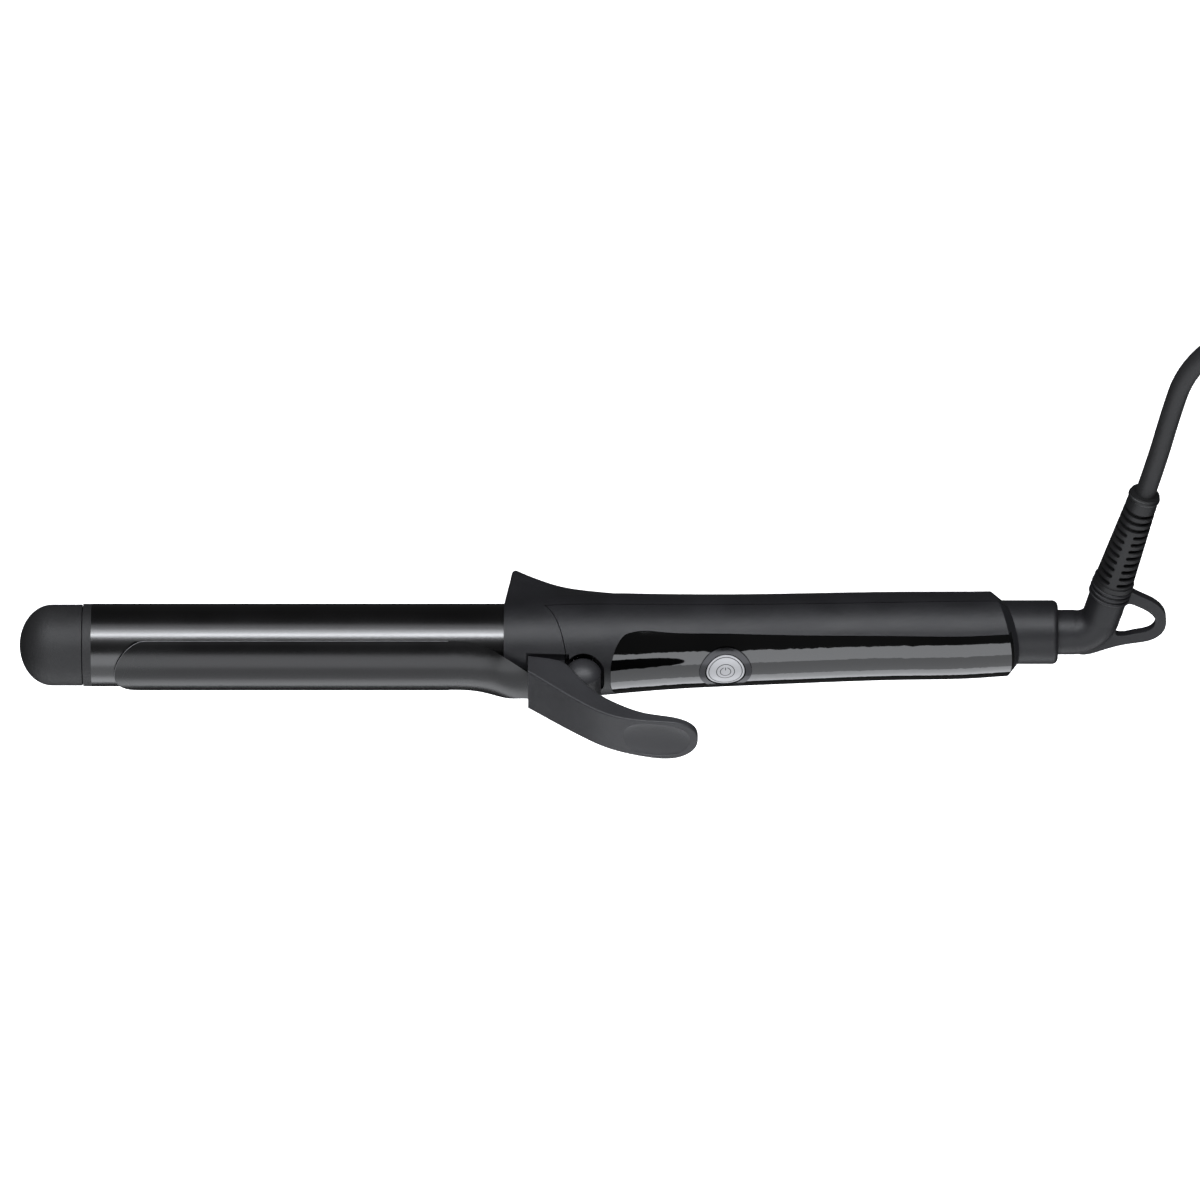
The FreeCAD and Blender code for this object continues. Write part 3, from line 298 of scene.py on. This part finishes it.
def vary_colour(tree, shader, pattern, low, high):
    """Let the pattern carry the colour from one tone to the other."""
    ramp = tree.nodes.new("ShaderNodeValToRGB")
    for element, position, colour in zip(ramp.color_ramp.elements, TONE_ENDS, (low, high)):
        element.position = position
        element.color = (*colour, 1)
    tree.links.new(pattern.outputs["Fac"], ramp.inputs["Fac"])
    tree.links.new(ramp.outputs["Color"], shader.inputs["Base Color"])


def vary_roughness(tree, shader, pattern, low, high):
    """Let the pattern carry the roughness between its two limits."""
    spread = tree.nodes.new("ShaderNodeMapRange")
    for socket, value in zip(("From Min", "From Max", "To Min", "To Max"), (*GLOSS_ENDS, low, high)):
        spread.inputs[socket].default_value = value
    tree.links.new(pattern.outputs["Fac"], spread.inputs["Value"])
    tree.links.new(spread.outputs["Result"], shader.inputs["Roughness"])


def add_bump(tree, shader, pattern, depth, strength=1.0):
    """Raise the pattern from the surface. The depth is in metres."""
    bump = tree.nodes.new("ShaderNodeBump")
    bump.inputs["Distance"].default_value = depth
    bump.inputs["Strength"].default_value = strength
    tree.links.new(pattern.outputs["Fac"], bump.inputs["Height"])
    tree.links.new(bump.outputs["Normal"], shader.inputs["Normal"])


# ---------------------------------------------------------------- kinds of material
def moulded(name, low, high, rough, grain=9000.0, depth=0.00004, specular=0.5):
    """Matte moulded plastic or rubber: a fine spark-eroded grain with slow changes of tone and gloss."""
    material, tree, shader = new_material(name, low, rough[0], specular=specular)
    slow = noise(tree, scale=60.0, detail=2.0)
    fine = noise(tree, scale=grain, detail=2.0)
    vary_colour(tree, shader, slow, low, high)
    vary_roughness(tree, shader, slow, *rough)
    add_bump(tree, shader, fine, depth)
    return material


def polished(name, low, high, rough, coat=0.0, specular=0.5):
    """Glossy black plastic or coating, with a faint unevenness in its shine."""
    material, tree, shader = new_material(name, low, rough[0], coat=coat, specular=specular)
    slow = noise(tree, scale=45.0, detail=3.0)
    vary_colour(tree, shader, slow, low, high)
    vary_roughness(tree, shader, slow, *rough)
    return material


def metal(name, colour, rough, stretch=(1.0, 1.0, 1.0)):
    """Bare or plated metal with fine scratches."""
    material, tree, shader = new_material(name, colour, rough[0], metallic=1.0)
    fine = noise(tree, scale=1800.0, detail=4.0, stretch=stretch)
    vary_roughness(tree, shader, fine, *rough)
    add_bump(tree, shader, fine, depth=0.00001, strength=0.5)
    return material


def grey(level, blue=1.04):
    """A grey with a little more blue."""
    return (level, level, level * blue)


# ---------------------------------------------------------------- the button's engraved face
# Two rings, and in the middle a switch mark: a smaller ring with a short bar in its gap.
BUTTON_ALONG, BUTTON_UP = 67.8, 12.0
OUTER_RING, INNER_RING, LINE_HALF = 5.1 * MM, 2.75 * MM, 0.13 * MM
MARK_RING, MARK_BAR, MARK_GAP = 1.6 * MM, 1.1 * MM, 0.55 * MM
ENGRAVED_COLOUR = (0.05, 0.05, 0.052, 1)
COMPARE_WITHIN = 2                                          # sockets that share a name with others, by number
MIX_FACTOR, MIX_FIRST, MIX_SECOND, MIX_RESULT = 0, 6, 7, 2


def maths(tree, operation, first, second=0.0, within=None):
    """A maths node's output, fed by sockets or plain numbers."""
    node = tree.nodes.new("ShaderNodeMath")
    node.operation = operation
    for socket, value in zip(node.inputs, (first, second)):
        if isinstance(value, float):
            socket.default_value = value
        else:
            tree.links.new(value, socket)
    if within is not None:
        node.inputs[COMPARE_WITHIN].default_value = within
    return node.outputs["Value"]


def distance_along(tree, offset, direction):
    """How far the offset goes in this direction."""
    dot = tree.nodes.new("ShaderNodeVectorMath")
    dot.operation = "DOT_PRODUCT"
    tree.links.new(offset, dot.inputs[0])
    dot.inputs[1].default_value = direction
    return dot.outputs["Value"]


def engrave_button(material):
    """Draw the rings and the switch mark as dark lines."""
    tree = material.node_tree
    shader = tree.nodes["Principled BSDF"]
    where = tree.nodes.new("ShaderNodeTexCoord")
    offset = tree.nodes.new("ShaderNodeVectorMath")
    offset.operation = "SUBTRACT"
    tree.links.new(where.outputs["Object"], offset.inputs[0])
    offset.inputs[1].default_value = place(BUTTON_ALONG, 0, BUTTON_UP)
    right = distance_along(tree, offset.outputs["Vector"], heading(1, 0, 0))
    across = distance_along(tree, offset.outputs["Vector"], heading(0, 1, 0))
    right_squared = maths(tree, "MULTIPLY", right, right)
    across_squared = maths(tree, "MULTIPLY", across, across)
    from_middle = maths(tree, "SQRT", maths(tree, "ADD", right_squared, across_squared))
    aside = maths(tree, "ABSOLUTE", right)
    rings = [maths(tree, "COMPARE", from_middle, ring, within=LINE_HALF)
             for ring in (OUTER_RING, INNER_RING, MARK_RING)]
    in_gap = maths(tree, "MULTIPLY", maths(tree, "LESS_THAN", aside, MARK_GAP),
                   maths(tree, "GREATER_THAN", across, 0.0))
    rings[-1] = maths(tree, "MULTIPLY", rings[-1], maths(tree, "SUBTRACT", 1.0, in_gap))
    bar = maths(tree, "MULTIPLY", maths(tree, "COMPARE", across, MARK_BAR, within=MARK_GAP),
                maths(tree, "LESS_THAN", aside, LINE_HALF))
    drawn = bar
    for ring in rings:
        drawn = maths(tree, "MAXIMUM", drawn, ring)
    tint = tree.nodes.new("ShaderNodeMix")
    tint.data_type = "RGBA"
    tree.links.new(drawn, tint.inputs[MIX_FACTOR])
    tint.inputs[MIX_FIRST].default_value = shader.inputs["Base Color"].default_value
    tint.inputs[MIX_SECOND].default_value = ENGRAVED_COLOUR
    tree.links.new(tint.outputs[MIX_RESULT], shader.inputs["Base Color"])


# ---------------------------------------------------------------- the materials, by slot
materials = {
    # the heated end
    "coated_barrel": polished("barrel_coating", grey(0.0012), grey(0.002), rough=(0.22, 0.25), specular=0.75),
    "coated_clip": polished("clip_coating", grey(0.0015), grey(0.0025), rough=(0.24, 0.28), specular=0.42),
    "clip_edge": metal("clip_edge", (0.1, 0.1, 0.102), rough=(0.3, 0.4)),
    "cool_tip": moulded("cool_tip_plastic", grey(0.009), grey(0.012), rough=(0.5, 0.58), grain=5200.0,
                        depth=0.00008, specular=0.3),
    # the handle
    "handle_plastic": moulded("handle_plastic", grey(0.0075, 1.12), grey(0.0095, 1.12), rough=(0.4, 0.48),
                              specular=0.26),
    "lever_plastic": moulded("lever_plastic", grey(0.018, 1.08), grey(0.022, 1.08), rough=(0.38, 0.46),
                             specular=0.32),
    "gloss_inlay": polished("gloss_inlay", grey(0.001), grey(0.0016), rough=(0.05, 0.08), coat=0.6),
    "bezel_metal": metal("bezel_plating", (0.045, 0.045, 0.047), rough=(0.14, 0.2)),
    "button_metal": metal("button_plating", (0.33, 0.33, 0.335), rough=(0.38, 0.5), stretch=(1.0, 14.0, 1.0)),
    # the cord
    "cord_rubber": moulded("cord_rubber", grey(0.008), grey(0.011), rough=(0.5, 0.6), grain=2500.0,
                           depth=0.00006, specular=0.3),
    "relief_rubber": moulded("relief_rubber", grey(0.006), grey(0.009), rough=(0.42, 0.52), grain=3000.0,
                             depth=0.00005, specular=0.28),
    "tie": moulded("tie_strap", grey(0.02), grey(0.03), rough=(0.6, 0.7), grain=1500.0, depth=0.00012),
    "plated_pin": metal("plated_pin", (0.72, 0.7, 0.66), rough=(0.18, 0.3), stretch=(14.0, 1.0, 14.0)),
    # the inside
    "steel": metal("zinc_steel", (0.5, 0.5, 0.52), rough=(0.3, 0.45)),
    "brass": metal("brass", (0.72, 0.55, 0.28), rough=(0.25, 0.4)),
    "spreader_metal": metal("extruded_aluminium", (0.68, 0.68, 0.7), rough=(0.3, 0.42),
                            stretch=(0.05, 1.0, 1.0)),
    "inner_plastic": moulded("inner_plastic", (0.6, 0.57, 0.5), (0.66, 0.63, 0.56), rough=(0.45, 0.55)),
    "ceramic": moulded("heater_ceramic", (0.7, 0.68, 0.62), (0.76, 0.74, 0.69), rough=(0.6, 0.7)),
    "board": moulded("circuit_board", (0.02, 0.16, 0.06), (0.03, 0.2, 0.08), rough=(0.3, 0.4)),
    "wire_cover": moulded("lead_sleeve", (0.62, 0.61, 0.56), (0.7, 0.69, 0.64), rough=(0.65, 0.75),
                          grain=1200.0, depth=0.0001),
}
engrave_button(materials["button_metal"])
slot_of = {entry["node"]: entry["material_slot"] for entry in frame["record"]["subparts"]}
slot_of["button_bezel"] = "bezel_metal"     # darker and glossier than the button, whose slot it shares
for name, node in nodes.items():
    node.data.materials.clear()
    node.data.materials.append(materials[slot_of[name]])
power_cord.data.materials.append(materials["cord_rubber"])
clip_edge.data.materials.append(materials["clip_edge"])

# ---------------------------------------------------------------- floor and world
# The photo's ground is plain white without a shadow, so the floor gives its own light. The iron neither mirrors
# it nor is lit by it.
FLOOR_HALF = 6.0
FLOOR_CORNERS = [(-FLOOR_HALF, -FLOOR_HALF, 0), (FLOOR_HALF, -FLOOR_HALF, 0), (FLOOR_HALF, FLOOR_HALF, 0),
                 (-FLOOR_HALF, FLOOR_HALF, 0)]
WORLD_STRENGTH = 0.04
floor_mesh = bpy.data.meshes.new("floor")
floor_mesh.from_pydata(FLOOR_CORNERS, [], [(0, 1, 2, 3)])
floor = bpy.data.objects.new("floor", floor_mesh)
put_in_scene(floor)
floor_material, _, floor_shader = new_material("floor", (0.9, 0.9, 0.9), 0.9)
floor_shader.inputs["Emission Color"].default_value = (1, 1, 1, 1)
floor_shader.inputs["Emission Strength"].default_value = 1.0
floor.data.materials.append(floor_material)
floor.visible_glossy = False
floor.visible_diffuse = False

world = bpy.data.worlds.new("world")
world.use_nodes = True
background = world.node_tree.nodes["Background"]
background.inputs["Color"].default_value = (1, 1, 1, 1)
background.inputs["Strength"].default_value = WORLD_STRENGTH
scene.world = world

# ---------------------------------------------------------------- lights
# Long soft strips beside the iron, for the highlights that run along it.
LIGHT_AWAY, LIGHT_LONG = 1.2, 2.2
LIGHT_COLOUR = (0.94, 0.96, 1.0)
LIGHTS_ALONG = 20
lit_middle = place(LIGHTS_ALONG, 0, 0)


def strip_light(name, angle, spread, power):
    """A long soft light. Its angle is in degrees from the camera's direction, towards picture up."""
    turned = math.radians(angle)
    way = towards_camera * math.cos(turned) + picture_up * math.sin(turned)
    data = bpy.data.lights.new(name, "AREA")
    data.shape = "RECTANGLE"
    data.size = LIGHT_LONG
    data.size_y = 2 * LIGHT_AWAY * math.tan(math.radians(spread / 2))
    data.energy = power
    data.color = LIGHT_COLOUR
    lamp = bpy.data.objects.new(name, data)
    lamp.matrix_world = (Matrix.Translation(lit_middle + way * LIGHT_AWAY)
                         @ axes_matrix(picture_right, way.cross(picture_right).normalized(), way))
    put_in_scene(lamp)


strip_light("key_edge", angle=27.5, spread=7, power=24)
strip_light("key_fade", angle=36.5, spread=11, power=10)
strip_light("key_tail", angle=50, spread=16, power=3.3)
strip_light("overhead", angle=-43, spread=34, power=14)
strip_light("low", angle=-80, spread=40, power=7.8)
strip_light("rim", angle=-114, spread=28, power=11)
